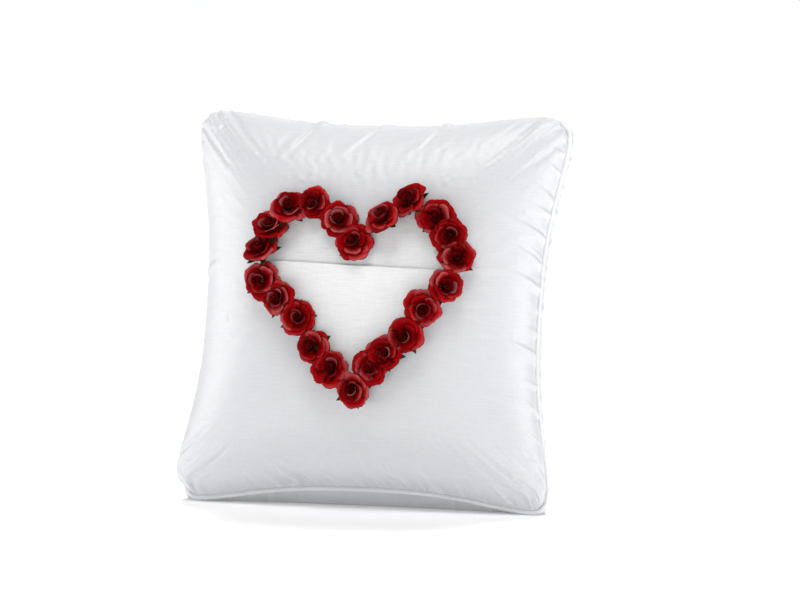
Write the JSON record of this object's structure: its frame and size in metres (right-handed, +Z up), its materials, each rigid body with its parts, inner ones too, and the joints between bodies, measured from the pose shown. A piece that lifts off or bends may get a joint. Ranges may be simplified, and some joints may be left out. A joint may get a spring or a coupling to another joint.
{
  "type": "ring bearer pillow",
  "caption": "Square piped satin ring pillow that stands leaning back, with a heart of paper roses round a cloth ring pocket.",
  "frame": {"origin": "on the floor, at the middle of the flat foot", "axes": "+X across the pillow to the right of its front, -Y the way the front faces, +Z up"},
  "size_m": [0.1652, 0.0747, 0.1625],
  "materials": {
    "satin": "white satin weave, soft gloss",
    "filling": "loose polyester fibre",
    "cord": "twisted cotton",
    "thread": "white sewing thread",
    "slub_cloth": "off-white slubby plain weave, matt",
    "glue": "set hot glue, translucent",
    "wire": "thin florist's wire",
    "petal_paper": "deep red hand-made paper, matt",
    "leaf_paper": "dark green paper, matt"
  },
  "bodies": {
    "root": {"front_cover": "satin", "back_cover": "satin", "fibre_filling": "filling", "piping_sleeve": "satin", "piping_cord": "cord", "seam_thread": "thread", "heart_backing": "slub_cloth", "pocket_panel": "slub_cloth", "glue_spots": "glue", "rose_wires": "wire", "rose_01": "petal_paper", "rose_02": "petal_paper", "rose_03": "petal_paper", "rose_04": "petal_paper", "rose_05": "petal_paper", "rose_06": "petal_paper", "rose_07": "petal_paper", "rose_08": "petal_paper", "rose_09": "petal_paper", "rose_10": "petal_paper", "rose_11": "petal_paper", "rose_12": "petal_paper", "rose_13": "petal_paper", "rose_14": "petal_paper", "rose_15": "petal_paper", "rose_16": "petal_paper", "rose_17": "petal_paper", "rose_18": "petal_paper", "rose_19": "petal_paper", "rose_20": "petal_paper", "rose_21": "petal_paper", "rose_22": "petal_paper", "calyx_01": "leaf_paper", "calyx_02": "leaf_paper", "calyx_03": "leaf_paper", "calyx_04": "leaf_paper", "calyx_05": "leaf_paper", "calyx_06": "leaf_paper", "calyx_07": "leaf_paper", "calyx_08": "leaf_paper", "calyx_09": "leaf_paper", "calyx_10": "leaf_paper", "calyx_11": "leaf_paper", "calyx_12": "leaf_paper", "calyx_13": "leaf_paper", "calyx_14": "leaf_paper", "calyx_15": "leaf_paper", "calyx_16": "leaf_paper", "calyx_17": "leaf_paper", "calyx_18": "leaf_paper", "calyx_19": "leaf_paper", "calyx_20": "leaf_paper", "calyx_21": "leaf_paper", "calyx_22": "leaf_paper"}
  },
  "joints": []
}
